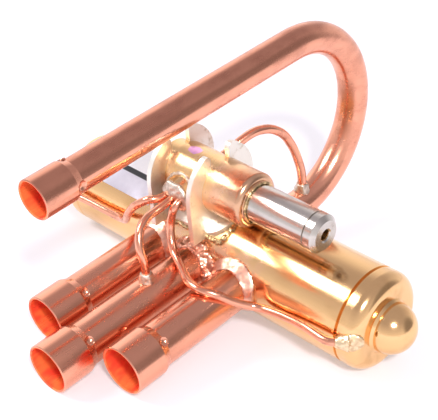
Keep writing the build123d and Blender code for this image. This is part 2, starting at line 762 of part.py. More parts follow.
# ---- solder joints: a cone round each capillary where it is brazed in --------------------------------------------
solder_height = 3.6
solder_radius = 3.4
solder_top = 0.4  # left round the capillary at the top of the cone
solder_sink = 1.0  # the cone starts this much under the skin
solder_joints = {
    "right": (cap_entries["right"], -cap_entry_ways["right"]),
    "left": (cap_entries["left"], -cap_entry_ways["left"]),
    "suction": (suction_entry, Vector(0, 0, 1)),
    "discharge": (discharge_entry, Vector(0, 0, 1)),
}
for name, (foot, way) in solder_joints.items():
    radius = high_pressure_radius if name == "discharge" else capillary_radius
    with BuildPart() as solder:
        with BuildSketch(Plane(foot - solder_sink * way, z_dir=way)):
            Circle(solder_radius)
        with BuildSketch(Plane(foot + solder_height * way, z_dir=way)):
            Circle(radius + solder_top)
        loft()
        with BuildSketch(Plane(foot, z_dir=way)):
            Circle(radius)
        extrude(amount=2 * solder_height, both=True, mode=Mode.SUBTRACT)
        if name in cap_entries:
            with BuildSketch(across_body(0)):
                Circle(body_radius)
            extrude(amount=2 * foot.X, mode=Mode.SUBTRACT)
        elif name == "suction":
            with BuildSketch(across_tubes(0, 0)):
                Circle(tube_radius)
            extrude(amount=suction_reach, mode=Mode.SUBTRACT)
        else:
            with BuildSketch(Plane((0, bend_middle.Y, discharge_height), x_dir=(1, 0, 0), z_dir=(0, 1, 0))):
                Circle(discharge_radius)
            sweep(path=u_bend.edges().sort_by(SortBy.LENGTH)[-1], mode=Mode.SUBTRACT)
    write_piece(solder, f"solder_{name}")
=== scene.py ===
# %% [markdown]
# # A four way reversing valve, dressed over its measured model
#
# This valve turns a heat pump round: it swaps which coil gets the compressor's hot gas. Its parts
# are brass, copper and steel, brazed and soldered together, so nearly all of its looks come from
# how metal was drawn, turned, heated and joined. The measured solids are right in shape already.
# They are kept, and this file gives them their finishes and adds what a drawing leaves out:
# frozen filler metal and a screw thread. A copy also stands in for the return spring.

# %% Load the measured model
import json
import math

import bpy
from mathutils import Matrix, Vector


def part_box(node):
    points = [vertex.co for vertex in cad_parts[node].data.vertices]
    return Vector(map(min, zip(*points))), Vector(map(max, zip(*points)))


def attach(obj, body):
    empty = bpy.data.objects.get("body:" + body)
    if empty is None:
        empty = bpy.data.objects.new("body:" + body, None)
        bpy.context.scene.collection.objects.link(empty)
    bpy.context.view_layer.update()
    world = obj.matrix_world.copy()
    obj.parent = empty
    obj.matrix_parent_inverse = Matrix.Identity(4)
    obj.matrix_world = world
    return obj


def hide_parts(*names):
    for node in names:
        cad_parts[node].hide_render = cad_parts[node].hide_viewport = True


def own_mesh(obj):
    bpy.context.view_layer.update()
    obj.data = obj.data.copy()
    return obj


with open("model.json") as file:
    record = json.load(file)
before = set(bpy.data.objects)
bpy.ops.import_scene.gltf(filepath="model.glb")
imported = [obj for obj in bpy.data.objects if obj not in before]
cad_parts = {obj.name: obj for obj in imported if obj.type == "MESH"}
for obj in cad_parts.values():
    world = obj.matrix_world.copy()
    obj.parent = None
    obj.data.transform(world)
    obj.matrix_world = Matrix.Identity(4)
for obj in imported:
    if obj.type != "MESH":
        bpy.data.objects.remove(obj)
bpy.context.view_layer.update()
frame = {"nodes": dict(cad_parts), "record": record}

# %% [markdown]
# The valve lies tilted, on its body and on the bell of its long suction tube. Its parts are
# easier to place in the valve's own frame: X along the body, -Y the way the tubes point, Z
# towards the pilot valve. The mounts in the record give the tilt, and the end cap gives the
# body's axis, so one matrix leads from that frame to the ground.

# %% The valve's own frame
MM = 0.001
mounts = {mount["name"]: mount for mount in frame["record"]["mounts"]}
tubes_point = Vector(mounts["suction_socket"]["axis"])
cap_low, cap_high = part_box("end_cap_right")
body_middle = Vector((0, (cap_low.y + cap_high.y) / 2, (cap_low.z + cap_high.z) / 2))
rest_tilt = math.atan2(-tubes_point.z, -tubes_point.y)
to_ground = Matrix.Translation(body_middle) @ Matrix.Rotation(rest_tilt, 4, "X")


def ground(x, y, z):
    """A point of the valve's own frame, in millimetres, where it lies on the ground."""
    return to_ground @ (MM * Vector((x, y, z)))


print("tilt", round(math.degrees(rest_tilt), 2), "degrees, body axis at", body_middle)

# %% [markdown]
# The camera and the light come first, because polished metal shows mostly what stands around it.
# The eye is close, so the near end of the body looks larger than the far one, and it looks down
# at the front right end.

# %% Camera
camera = bpy.data.cameras.new("camera")
camera_object = bpy.data.objects.new("camera", camera)
bpy.context.scene.collection.objects.link(camera_object)
bpy.context.scene.camera = camera_object
eye = Vector((0.24279, -0.25408, 0.256553))
looks = Vector((-0.5832, 0.6112, -0.5351))
camera_object.location = eye
camera_object.rotation_euler = looks.to_track_quat("-Z", "Y").to_euler()
camera.sensor_width = 36
camera.lens = 94.5
print("camera", round((eye - body_middle).length, 3), "m from the body")

# %% [markdown]
# A floor that glows a little stays pale all over, and the shadows on it stay faint, as in a light
# tent. It is stage, not part of the valve.

# %% Floor
bpy.ops.object.select_all(action="DESELECT")
bpy.ops.mesh.primitive_plane_add(size=5)
floor = bpy.context.object
floor.name = "floor"
floor_finish = bpy.data.materials.new("floor")
floor_finish.use_nodes = True
floor_shader = floor_finish.node_tree.nodes["Principled BSDF"]
floor_shader.inputs["Base Color"].default_value = (0.64, 0.63, 0.67, 1)
floor_shader.inputs["Roughness"].default_value = 0.9
floor_shader.inputs["Specular IOR Level"].default_value = 0.1
floor_shader.inputs["Emission Color"].default_value = (1.0, 0.99, 1.0, 1)
floor_shader.inputs["Emission Strength"].default_value = 0.31
floor.data.materials.append(floor_finish)
print("floor", floor.dimensions.x, "m")

# %% [markdown]
# A large soft box up on the left draws the white stripe along every cylinder that lies along X. A
# small one up on the right is harder: it throws the faint shadows to the back left and shines
# into the mouths of the tubes. Area lights are used and not points, because the metal mirrors
# their shape.

# %% Soft boxes
lit_place = Vector((0, 0, 0.03))


def soft_box(name, place, width, power):
    """A square area light at place that faces the valve, with its power in watts."""
    light = bpy.data.lights.new(name, "AREA")
    light.shape = "RECTANGLE"
    light.size, light.size_y = width, width
    light.energy = power
    box = bpy.data.objects.new(name, light)
    bpy.context.scene.collection.objects.link(box)
    box.location = place
    box.rotation_euler = (lit_place - Vector(place)).to_track_quat("-Z", "Y").to_euler()


soft_box("left_light", (-0.68, -0.55, 0.96), 0.50, 6)
soft_box("right_light", (0.70, -0.49, 0.85), 0.12, 8)

# %% [markdown]
# The room is a gradient and no picture: a ramp on how high a direction points. It is bright at
# the horizon and greyer overhead, and that gives the tops of the cylinders their darker bands.

# %% Room
room = bpy.data.worlds.new("room")
bpy.context.scene.world = room
room.use_nodes = True
room_nodes, room_links = room.node_tree.nodes, room.node_tree.links
direction = room_nodes.new("ShaderNodeTexCoord")
split = room_nodes.new("ShaderNodeSeparateXYZ")
walls = room_nodes.new("ShaderNodeValToRGB")
horizon, overhead = walls.color_ramp.elements
horizon.position, horizon.color = 0.0, (0.92, 0.90, 0.92, 1)
overhead.position, overhead.color = 0.7, (0.52, 0.49, 0.52, 1)
room_links.new(direction.outputs["Generated"], split.inputs[0])
room_links.new(split.outputs["Z"], walls.inputs[0])
print("room:", len(room_nodes), "nodes")

# %% [markdown]
# Two soft patches lie over that gradient. A dark corner at the far right gives the polished body
# and the sleeve something dark to mirror, and a bright wall at the far left gives their other
# side a rim. Each is a disc round a direction with a soft edge, so only metal that faces it
# changes. The view is left plain and lifted a little, so that pale metal stays pale.

# %% Corner, wall and view
def patch(below, way, colour, start, full):
    """Blend one more colour into the room round a direction."""
    towards = room_nodes.new("ShaderNodeVectorMath")
    towards.operation = "DOT_PRODUCT"
    towards.inputs[1].default_value = Vector(way).normalized()
    soft_edge = room_nodes.new("ShaderNodeMapRange")
    soft_edge.interpolation_type = "SMOOTHSTEP"
    soft_edge.inputs["From Min"].default_value = start
    soft_edge.inputs["From Max"].default_value = full
    blend = room_nodes.new("ShaderNodeMix")
    blend.data_type = "RGBA"
    blend.inputs[7].default_value = (*colour, 1)
    room_links.new(direction.outputs["Generated"], towards.inputs[0])
    room_links.new(towards.outputs["Value"], soft_edge.inputs["Value"])
    room_links.new(soft_edge.outputs[0], blend.inputs[0])
    room_links.new(below, blend.inputs[6])
    return blend.outputs[2]


dark, bright = (0.34, 0.32, 0.33), (1.30, 1.26, 1.26)
far_corner = patch(walls.outputs["Color"], (0.80, 0.55, 0.18), dark, 0.80, 0.97)
left_wall = patch(far_corner, (-0.85, 0.50, 0.28), bright, 0.78, 0.99)
sky = room_nodes["Background"]
room_links.new(left_wall, sky.inputs["Color"])
sky.inputs["Strength"].default_value = 1.0
view = bpy.context.scene.view_settings
view.view_transform = "Standard"
view.exposure = 0.15
view.gamma = 0.85
print("room:", len(room_nodes), "nodes, view", view.view_transform)

# %% [markdown]
# ## Finishes
#
# A finish is easier to read as sums than as a web of nodes. Field wraps one output of a node, and
# its operators add the Math nodes that a sum needs.

# %% Shader sums
class Field:
    """One output of a finish's nodes. A sum with it adds Math nodes."""

    def __init__(self, finish, socket):
        self.finish = finish
        self.socket = socket

    def math(self, operation, *values):
        return self.finish.node("ShaderNodeMath", {"operation": operation}, dict(enumerate(values)))

    def __add__(self, other):
        return self.math("ADD", self, other)

    def __radd__(self, other):
        return self.math("ADD", other, self)

    def __sub__(self, other):
        return self.math("SUBTRACT", self, other)

    def __rsub__(self, other):
        return self.math("SUBTRACT", other, self)

    def __mul__(self, other):
        return self.math("MULTIPLY", self, other)

    def __rmul__(self, other):
        return self.math("MULTIPLY", other, self)

    def __truediv__(self, other):
        return self.math("DIVIDE", self, other)

    def squared(self):
        return self.math("MULTIPLY", self, self)

    def root(self):
        return self.math("SQRT", self)

    def size(self):
        return self.math("ABSOLUTE", self)

    def or_more(self, other):
        return self.math("MAXIMUM", self, other)

    def steps(self, low, high):
        """0 below low, 1 above high, and a smooth way between. With low above high it falls."""
        settings = {"interpolation_type": "SMOOTHSTEP"}
        values = {0: self, 1: low, 2: high, 3: 0.0, 4: 1.0}
        return self.finish.node("ShaderNodeMapRange", settings, values)


# %% [markdown]
# Finish holds one material and has one method that adds any other node. Its place is the valve's
# own frame in metres: a Mapping node takes the tilt out of the Object coordinates. So a pattern
# can follow the tubes or the body although the valve lies tilted.

# %% Finish
class Finish:
    """A procedural finish: a Principled shader and the nodes that feed it."""

    def __init__(self, name, metallic=1.0):
        self.material = bpy.data.materials.new(name)
        self.material.use_nodes = True
        self.tree = self.material.node_tree
        self.shader = self.tree.nodes["Principled BSDF"]
        self.shader.inputs["Metallic"].default_value = metallic
        tilted = self.node("ShaderNodeTexCoord", output="Object")
        straight = {"Vector": tilted, "Location": body_middle, "Rotation": (rest_tilt, 0, 0)}
        self.place = self.node("ShaderNodeMapping", {"vector_type": "TEXTURE"}, straight)

    def node(self, kind, settings=None, values=None, output=0):
        """Any node: its settings first, then the values or links of its sockets."""
        made = self.tree.nodes.new(kind)
        for setting, value in (settings or {}).items():
            setattr(made, setting, value)
        for socket, value in (values or {}).items():
            if isinstance(value, Field):
                self.tree.links.new(value.socket, made.inputs[socket])
            else:
                made.inputs[socket].default_value = value
        return Field(self, made.outputs[output])

    def along(self, axis):
        """One coordinate of the valve's own frame, in metres."""
        return self.node("ShaderNodeSeparateXYZ", None, {0: self.place}, output=axis)

    def noise(self, grain, stretch=(1, 1, 1), detail=3.0, roughness=0.5):
        """Noise from 0 to 1 with grains of that many millimetres, longer where stretch is."""
        scale = tuple(1 / (grain * MM * s) for s in stretch)
        place = self.node("ShaderNodeMapping", None, {"Vector": self.place, "Scale": scale})
        values = {"Vector": place, "Scale": 1.0, "Detail": detail, "Roughness": roughness}
        return self.node("ShaderNodeTexNoise", None, values)

    def blend(self, mask, below, above):
        """A colour that goes from below to above as mask goes from 0 to 1."""
        colours = [c if isinstance(c, Field) else (*c, 1.0) for c in (below, above)]
        values = {0: mask, 6: colours[0], 7: colours[1]}
        return self.node("ShaderNodeMix", {"data_type": "RGBA"}, values, output=2)

    def set(self, **fields):
        """Feed the shader's sockets: colour, roughness, metallic or bump."""
        sockets = {"colour": "Base Color", "roughness": "Roughness", "metallic": "Metallic"}
        for name, value in fields.items():
            if name == "bump":
                height, distance = value
                values = {"Height": height, "Distance": distance, "Strength": 1.0}
                normal = self.node("ShaderNodeBump", None, values)
                self.tree.links.new(normal.socket, self.shader.inputs["Normal"])
            else:
                self.tree.links.new(value.socket, self.shader.inputs[sockets[name]])


def wear(finish, *nodes):
    """Give measured pieces this finish."""
    for node in nodes:
        piece = frame["nodes"][node]
        piece.data.materials.clear()
        piece.data.materials.append(finish.material)
    print(finish.material.name, "on", ", ".join(nodes))


# %% [markdown]
# ## Brass
#
# The body is drawn brass tube, polished along its length, and its caps are pressed from brass
# sheet. Polish leaves faint lines along the body and a slow waviness. Brazing left a pinker,
# duller haze near the tubes, and a brown smear low on the front. All of it is noise, drawn
# out along X and held to its place by masks on the valve's own coordinates.

# %% Body brass
yellow_brass = (0.91, 0.61, 0.33)
brown_brass = (0.70, 0.41, 0.18)
pink_brass = (0.90, 0.58, 0.43)

body_brass = Finish("body_brass")
body_x, body_y, body_z = (body_brass.along(axis) for axis in "XYZ")
tarnish = body_brass.noise(9.0, stretch=(2.5, 1, 1), detail=4.0).steps(0.52, 0.80)
near_tubes = body_y.steps(-0.006, -0.017) * body_x.size().steps(0.036, 0.022)
haze = near_tubes * body_brass.noise(4.0).steps(0.30, 0.65)
low_front = body_z.steps(0.0, -0.008) * body_y.steps(0.0, -0.006)
flux = body_brass.noise(6.0, stretch=(3, 1, 1), detail=4.0).steps(0.45, 0.7)
smear = 0.5 * low_front * flux
polish_lines = body_brass.noise(0.35, stretch=(60, 1, 1), detail=2.0)
waves = body_brass.noise(14.0, stretch=(2, 1, 1), detail=1.0)
tarnished = body_brass.blend(tarnish * 0.6 + smear, yellow_brass, brown_brass)
body_brass.set(
    colour=body_brass.blend(haze * 0.8, tarnished, pink_brass),
    roughness=0.12 + 0.07 * polish_lines + 0.08 * tarnish + 0.16 * haze,
    bump=(polish_lines * 0.02 + waves * 0.5, 0.0006),
)
wear(body_brass, "valve_body", "end_cap_left", "end_cap_right")
wear(body_brass, "valve_seat", "piston_left", "piston_right")

# %% [markdown]
# The pilot's barrel was turned on a lathe, so its fine lines run round it: the noise is drawn out
# along Y and Z instead. It was heated twice, past the bracket's ear and where the sleeve was
# joined, and is pinker and browner there. The dab of ink on top is an ellipse with noise added to
# its edge.

# %% Pilot brass
pilot_brass = Finish("pilot_brass")
pilot_x, pilot_y, pilot_z = (pilot_brass.along(axis) for axis in "XYZ")
turning_lines = pilot_brass.noise(0.22, stretch=(1, 40, 40), detail=2.0)
blush = pilot_brass.noise(5.0, detail=3.0).steps(0.42, 0.70)
past_ear = pilot_x.steps(0.003, 0.008)
by_sleeve = pilot_x.steps(0.0125, 0.0165) * (0.35 + 0.5 * pilot_brass.noise(3.0, detail=3.0))
blushed = pilot_brass.blend(blush * 0.35 + past_ear * 0.4, yellow_brass, pink_brass)
heated = pilot_brass.blend(by_sleeve, blushed, (0.62, 0.38, 0.27))
dot_x = (pilot_x + 0.0078) / 0.0027
dot_y = (pilot_y + 0.0044) / 0.0022
ragged = 0.9 * (pilot_brass.noise(1.6) - 0.5)
dot_edge = (dot_x.squared() + dot_y.squared()).root() + ragged
ink = dot_edge.steps(1.15, 0.8) * pilot_z.steps(0.035, 0.036)
pilot_brass.set(
    colour=pilot_brass.blend(ink * 0.85, heated, (0.95, 0.50, 0.86)),
    roughness=0.16 + 0.10 * turning_lines + 0.08 * blush,
    bump=(turning_lines * 0.05 + pilot_brass.noise(7.0, detail=1.0) * 0.4, 0.0005),
)
wear(pilot_brass, "pilot_body", "pilot_seat")

# %% [markdown]
# ## Copper
#
# Copper tube is soft drawn: fine lines run along it, and its skin goes from clean salmon to a
# dull brown where it was heated for brazing. The same brown is laid on the top of each tube as
# painted shade, so the tops come out darker. Inside the mouths the metal is clean and sees only
# itself, so its red gets deeper with each reflection. That many reflections would stay dark and
# noisy in a render, so the bore gets the deep red as a plain colour instead: a painted reflection,
# with painted orange patches in it.
# One finish per tube knows that tube's axis, and paints the bore apart from the skin.

# %% Copper of one tube
salmon = (0.92, 0.47, 0.33)
dull_brown = (0.52, 0.24, 0.17)
# The bore's red and orange are painted reflections: the colour of light bounced round inside clean
# copper.
bore_red = (0.98, 0.13, 0.07)
bore_orange = (1.0, 0.29, 0.10)
bell_depth, red_depth = 12, 45  # how far in from the mouth, in millimetres


def copper(name, axis_x, axis_z, radius, reach, tarnish_and_top_shade):
    """Drawn copper for a belled tube along -Y, with its sizes in millimetres."""
    finish = Finish(name)
    drawn_lines = finish.noise(0.5, stretch=(1, 30, 1), detail=3.0)
    smoke = finish.noise(7.0, stretch=(1, 2.2, 1), detail=5.0, roughness=0.6).steps(0.40, 0.72)
    across = finish.along("X") - axis_x * MM
    up = finish.along("Z") - axis_z * MM
    out = 0 - finish.along("Y")
    from_axis = (across.squared() + up.squared()).root()

    def inside(bore, start, fade):
        """1 nearer the axis than bore and further out than start, in millimetres."""
        near_axis = from_axis.steps((bore + 0.2) * MM, bore * MM)
        return near_axis * out.steps(start * MM, (start + fade) * MM)

    in_bell = inside(radius + 0.55, reach - bell_depth, 0.5)
    in_shank = inside(radius - 0.55, reach - red_depth, 5)
    in_bore = in_bell.or_more(in_shank)
    # Painted shade: the top of each tube is blended towards the dull brown.
    painted_shade_on_top = (up / from_axis).steps(0.1, 0.95)
    skin = finish.blend(tarnish_and_top_shade * (painted_shade_on_top + 0.8 * smoke), salmon, dull_brown)
    # Painted reflections: orange patches in the bore's red.
    painted_reflection_patches = finish.noise(4.5, stretch=(1, 2, 1), detail=2.0).steps(0.35, 0.65)
    dents = finish.noise(9.0, stretch=(1, 3, 1), detail=1.0)
    finish.set(
        colour=finish.blend(in_bore, skin, finish.blend(painted_reflection_patches, bore_red, bore_orange)),
        metallic=1.0 - 0.85 * in_bore,
        roughness=0.15 + 0.14 * smoke + 0.08 * drawn_lines,
        bump=(drawn_lines * 0.02 + dents * 0.4, 0.0005),
    )
    return finish


# %% [markdown]
# The three side tubes are 16 mm across and a port's pitch apart, and the suction tube in the
# middle reaches further. The discharge tube is 12 mm across, runs above them and was heated more,
# so it is duller, and the painted shade on its top is stronger.

# %% Copper tubes
# The side tubes' number sets both their smoke tarnish and the painted shade on their tops.
side_radius, side_tarnish_and_top_shade = 8, 0.22
port_pitch = mounts["condenser_socket"]["pos_m"][0] / MM
side_tubes = (("evaporator", -port_pitch, 72), ("suction", 0, 87.3), ("condenser", port_pitch, 72))
for tube, axis_x, reach in side_tubes:
    tube_copper = copper(f"{tube}_copper", axis_x, 0, side_radius, reach, side_tarnish_and_top_shade)
    wear(tube_copper, f"{tube}_tube")
# Its last number sets the discharge tube's smoke tarnish and the painted shade on its top.
discharge_high, discharge_radius, discharge_reach, discharge_tarnish_and_top_shade = 64.8, 6, 79.5, 0.5
discharge_copper = copper(
    "discharge_copper", 0, discharge_high, discharge_radius, discharge_reach, discharge_tarnish_and_top_shade
)
wear(discharge_copper, "discharge_tube")

# %% [markdown]
# The capillaries are the same copper, drawn so thin that lines along them don't show. Each bends
# its own way, so their finish has no axis: only smoke and a slight waviness.

# %% Capillaries
capillary_copper = Finish("capillary_copper")
smoke = capillary_copper.noise(4.0, detail=4.0).steps(0.45, 0.75)
capillary_copper.set(
    colour=capillary_copper.blend(smoke * 0.6, salmon, dull_brown),
    roughness=0.18 + 0.16 * smoke,
    bump=(capillary_copper.noise(3.0), 0.00006),
)
wear(capillary_copper, *(f"capillary_{end}" for end in ("left", "right", "suction", "discharge")))

# %% [markdown]
# ## Steel and filler metal
#
# The sleeve and its plug are polished stainless steel. Grinding leaves fine lines round them, so
# the noise is drawn out as on the barrel, and hands leave a browner, duller smear.

# %% Sleeve, plug and plunger
bright_steel = Finish("bright_steel")
grinding = bright_steel.noise(0.25, stretch=(1, 30, 30), detail=2.0)
handled = bright_steel.noise(6.0, detail=4.0).steps(0.5, 0.8)
bright_steel.set(
    colour=bright_steel.blend(handled * 0.5, (0.66, 0.62, 0.58), (0.50, 0.43, 0.38)),
    roughness=0.17 + 0.08 * grinding + 0.10 * handled,
    bump=(grinding * 0.04, 0.0003),
)
wear(bright_steel, "pilot_sleeve", "sleeve_plug", "pilot_plunger")

# %% [markdown]
# The bracket is thin steel plate with a pale plating. It was rolled and not polished, so it is
# the dullest metal here, and it is stained where flux ran on it.

# %% Bracket
pale_plating = Finish("pale_plating")
flux_stain = pale_plating.noise(3.5, detail=5.0, roughness=0.65).steps(0.55, 0.75)
rolled = pale_plating.noise(1.5, detail=3.0)
pale_plating.set(
    colour=pale_plating.blend(flux_stain * 0.6, (0.90, 0.87, 0.81), (0.62, 0.52, 0.40)),
    roughness=0.38 + 0.14 * rolled + 0.20 * flux_stain,
    bump=(rolled * 0.3 + flux_stain * 0.4, 0.0003),
)
wear(pale_plating, "pilot_bracket", "slide_carrier")

# %% [markdown]
# The filler in the joints froze as it flowed, so it is mottled between a clean and a dark colour.
# Its lumps are real shapes further down, so here only its skin is grainy. The kinds differ in
# colour: copper filler on the suction tube, a pinker one on the other tubes, silver solder on the
# pilot's seat and two capillaries, a golden one on the caps, and brass on the bracket.

# %% Filler metal
def filler(name, clean, dark, smoothest):
    """Frozen filler metal, mottled between two colours, rougher where it is dark."""
    finish = Finish(name)
    mottle = finish.noise(1.6, detail=5.0, roughness=0.6).steps(0.38, 0.66)
    grains = finish.noise(1.2, detail=3.0)
    finish.set(
        colour=finish.blend(mottle, clean, dark),
        roughness=smoothest + 0.22 * mottle,
        bump=(grains, 0.00006),
    )
    return finish


cap_filler = filler("cap_filler", (0.90, 0.74, 0.52), (0.72, 0.53, 0.34), 0.30)
copper_filler = filler("copper_filler", (0.84, 0.50, 0.38), (0.56, 0.28, 0.20), 0.26)
silver_filler = filler("silver_filler", (0.80, 0.70, 0.61), (0.58, 0.48, 0.41), 0.34)
pink_filler = filler("pink_filler", (0.84, 0.55, 0.44), (0.74, 0.44, 0.34), 0.32)
brass_filler = filler("brass_filler", (0.90, 0.68, 0.40), (0.34, 0.24, 0.14), 0.18)
thread_brass = filler("thread_brass", (0.88, 0.56, 0.26), (0.60, 0.34, 0.14), 0.20)
tubes = ("suction", "evaporator", "condenser", "discharge")
wear(copper_filler, *(f"braze_{tube}" for tube in tubes))
wear(silver_filler, "solder_suction", "solder_discharge")
wear(cap_filler, "solder_left", "solder_right")

# %% [markdown]
# ## Shapes of the filler metal
#
# Filler metal runs into a joint as a liquid and freezes where it stops, so every joint of this
# valve is lumpy. A drawing shows a plain collar there. The lumps could be painted on with a bump,
# but their outline would stay smooth. So a copy of the measured collar is taken, and its loose
# triangles are merged, because modifiers need a closed surface.

# %% Copies and modifiers
def only(piece):
    """Leave piece as the one object that is selected."""
    bpy.ops.object.select_all(action="DESELECT")
    piece.select_set(True)
    bpy.context.view_layer.objects.active = piece


def modify(piece, kind, **settings):
    """Add one modifier with these settings and apply it."""
    only(piece)
    modifier = piece.modifiers.new(kind.title(), kind)
    for name, value in settings.items():
        setattr(modifier, name, value)
    bpy.ops.object.modifier_apply(modifier=modifier.name)


def merged_copy(node, name):
    """A new piece in the shape of a measured one, with its loose triangles merged."""
    piece = bpy.data.objects.new(name, frame["nodes"][node].data.copy())
    bpy.context.scene.collection.objects.link(piece)
    only(piece)
    bpy.ops.object.mode_set(mode="EDIT")
    bpy.ops.mesh.select_all(action="SELECT")
    bpy.ops.mesh.remove_doubles(threshold=0.001 * MM)
    bpy.ops.object.mode_set(mode="OBJECT")
    return piece


# %% [markdown]
# The copy is closed by a voxel remesh, pushed in and out by a clouds texture, and smoothed. It
# keeps the collar's place and size. Every new piece then gets its finish in a material slot, and
# the body that it rides on.

# %% Freeze and join up
def freeze(piece, voxel, grain, height, sunk=0.5, rounds=2):
    """Make a closed piece lumpy, like metal that froze as it flowed. Sizes in millimetres."""
    modify(piece, "REMESH", mode="VOXEL", voxel_size=voxel * MM)
    clouds = bpy.data.textures.new(piece.name, "CLOUDS")
    clouds.noise_scale = grain * MM
    push = {"texture": clouds, "texture_coords": "LOCAL", "strength": height * MM}
    modify(piece, "DISPLACE", mid_level=sunk, **push)
    modify(piece, "SMOOTH", factor=0.5, iterations=rounds)


def join_up(piece, finish):
    """Put a new piece's place into its mesh, give it a finish and let it ride on the valve."""
    only(piece)
    bpy.ops.object.transform_apply(location=True, rotation=True, scale=True)
    bpy.ops.object.shade_smooth_by_angle(angle=math.radians(60))
    piece.data.materials.clear()
    piece.data.materials.append(finish.material)
    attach(piece, "valve")
    print(piece.name, len(piece.data.polygons), "faces")


def frozen_copy(node, finish, slot, more=None, **lumps):
    """A lumpy piece in place of a measured one, with one more lump joined on if there is one."""
    piece = merged_copy(node, f"frozen_{node}")
    if more:
        more.select_set(True)
        bpy.ops.object.join()
    freeze(piece, **lumps)
    join_up(piece, finish)
    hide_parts(node)


# %% [markdown]
# The suction tube stands between its neighbours, where a torch hardly reaches, so its collar
# froze roughest: coarse lumps, pushed far. The other three flowed well and froze as slow waves.

# %% Brazed collars
rough_braze = {"voxel": 0.35, "grain": 3.4, "height": 2.6, "sunk": 0.35, "rounds": 3}
smooth_braze = {"voxel": 0.35, "grain": 5.0, "height": 0.8, "sunk": 0.45, "rounds": 6}
frozen_copy("braze_suction", copper_filler, "braze", **rough_braze)
for tube in ("evaporator", "condenser", "discharge"):
    frozen_copy(f"braze_{tube}", pink_filler, "braze", **smooth_braze)

# %% [markdown]
# The capillaries are soldered at a lower heat. Solder is thin when it melts and draws itself into
# round beads, so these copies are smoothed for more rounds.

# %% Solder on the tubes
solder_bead = {"voxel": 0.15, "grain": 2.4, "height": 0.9, "sunk": 0.35, "rounds": 12}
for end in ("suction", "discharge"):
    frozen_copy(f"solder_{end}", silver_filler, "solder", **solder_bead)

# %% [markdown]
# Each cap takes a capillary through a slanting hole in its rounded shoulder. In the solids that
# hole runs on too far and is open beyond its joint, which is a fault of theirs. So one more lump
# covers it: a sphere, flattened against the shoulder and leaning with it, joined to the copy
# before both freeze as one. It stays thin, because the piston's seal comes close behind.

# %% Solder on the caps
shoulder_x, shoulder_y, shoulder_round = 68.5, 13.0, 4.7
shoulder_lean = math.radians(40)
cap_lump_halves = (3.9, 3.3, 1.05)  # along the shoulder, across it and out of it
cap_bead = {"voxel": 0.2, "grain": 3.0, "height": 1.0, "sunk": 0.4, "rounds": 10}


def facing(way):
    """The turn that points an object's Z along a direction of the valve's own frame."""
    return (to_ground.to_3x3() @ way).to_track_quat("Z", "Y").to_euler()


def cap_lump(side, height):
    """Solder that ran over the mouth of a capillary's hole, at that angle of height on a cap."""
    along, out = Vector((side, 0, 0)), Vector((0, -math.cos(height), math.sin(height)))
    leaning = out * math.cos(shoulder_lean) + along * math.sin(shoulder_lean)
    middle = along * shoulder_x + out * shoulder_y + leaning * shoulder_round
    place = {"location": ground(*middle), "rotation": facing(leaning)}
    bpy.ops.object.select_all(action="DESELECT")
    bpy.ops.mesh.primitive_uv_sphere_add(segments=32, ring_count=16, radius=MM, **place)
    bpy.ops.transform.resize(value=cap_lump_halves, orient_type="LOCAL")
    lump = bpy.context.object
    bpy.ops.object.transform_apply(location=True, rotation=True, scale=True)
    return lump


for end, side, height in (("right", 1, 10.6), ("left", -1, 18.4)):
    lump = cap_lump(side, math.radians(height))
    frozen_copy(f"solder_{end}", cap_filler, "solder", more=lump, **cap_bead)

# %% [markdown]
# Along the foot of the bracket the filler lies in a thin run. Its path is a rounded rectangle
# that hangs over the joint. A shrinkwrap drops it onto the metal, so it follows the curve of the
# body. Bevelled as a curve it gets its thickness, and then it freezes as the collars do.

# %% Run along the bracket
axis_y, axis_z = -4.2, 29.8  # the pilot's own axis, in the valve's frame
saddle_x, saddle_length, saddle_width, saddle_corner = -7, 36.4, 18.4, 2.5
above_body = 26


def run_of_filler(outline, node, thickness, **lumps):
    """Drop an outline's edges onto a measured piece and turn them into a run of filler."""
    drop = {"use_negative_direction": True, "use_positive_direction": False, "use_project_z": True}
    modify(outline, "SHRINKWRAP", target=frame["nodes"][node], wrap_method="PROJECT", **drop)
    bpy.ops.object.convert(target="CURVE")
    outline.data.bevel_depth = thickness * MM
    outline.data.bevel_resolution = 3
    bpy.ops.object.convert(target="MESH")
    freeze(outline, **lumps)


bpy.ops.object.select_all(action="DESELECT")
over_saddle = {"location": ground(saddle_x, axis_y, above_body), "rotation": (rest_tilt, 0, 0)}
bpy.ops.mesh.primitive_plane_add(size=1, **over_saddle)
bracket_run = bpy.context.object
bracket_run.name = "bracket_run"
bracket_run.scale = (saddle_length * MM, saddle_width * MM, 1)
bpy.ops.object.transform_apply(location=False, rotation=False, scale=True)
bpy.ops.object.mode_set(mode="EDIT")
bpy.ops.mesh.select_all(action="SELECT")
bpy.ops.mesh.bevel(offset=saddle_corner * MM, segments=3, affect="VERTICES")
bpy.ops.mesh.delete(type="ONLY_FACE")
bpy.ops.mesh.select_all(action="SELECT")
bpy.ops.mesh.subdivide(number_cuts=9)
bpy.ops.object.mode_set(mode="OBJECT")
run_of_filler(bracket_run, "valve_body", 1.1, voxel=0.35, grain=2.2, height=1.7, sunk=0.45)
join_up(bracket_run, brass_filler)

# %% [markdown]
# The pilot's seat is a stub on the front of the barrel, tilted a little downwards, and its joint
# is a ring. The same helper drops a circle onto the barrel, this time along the stub. The three
# capillaries enter the stub's face through a puddle of solder: a sphere, flattened along the stub
# and frozen.

# %% Solder round the seat
seat_tilt = math.radians(8)
seat_way = Vector((0, -math.cos(seat_tilt), -math.sin(seat_tilt)))
seat_root = Vector((-6.5, axis_y, axis_z))


def on_seat(distance):
    """Where an object goes that faces out along the stub, that many millimetres from its root."""
    return {"location": ground(*(seat_root + distance * seat_way)), "rotation": facing(seat_way)}


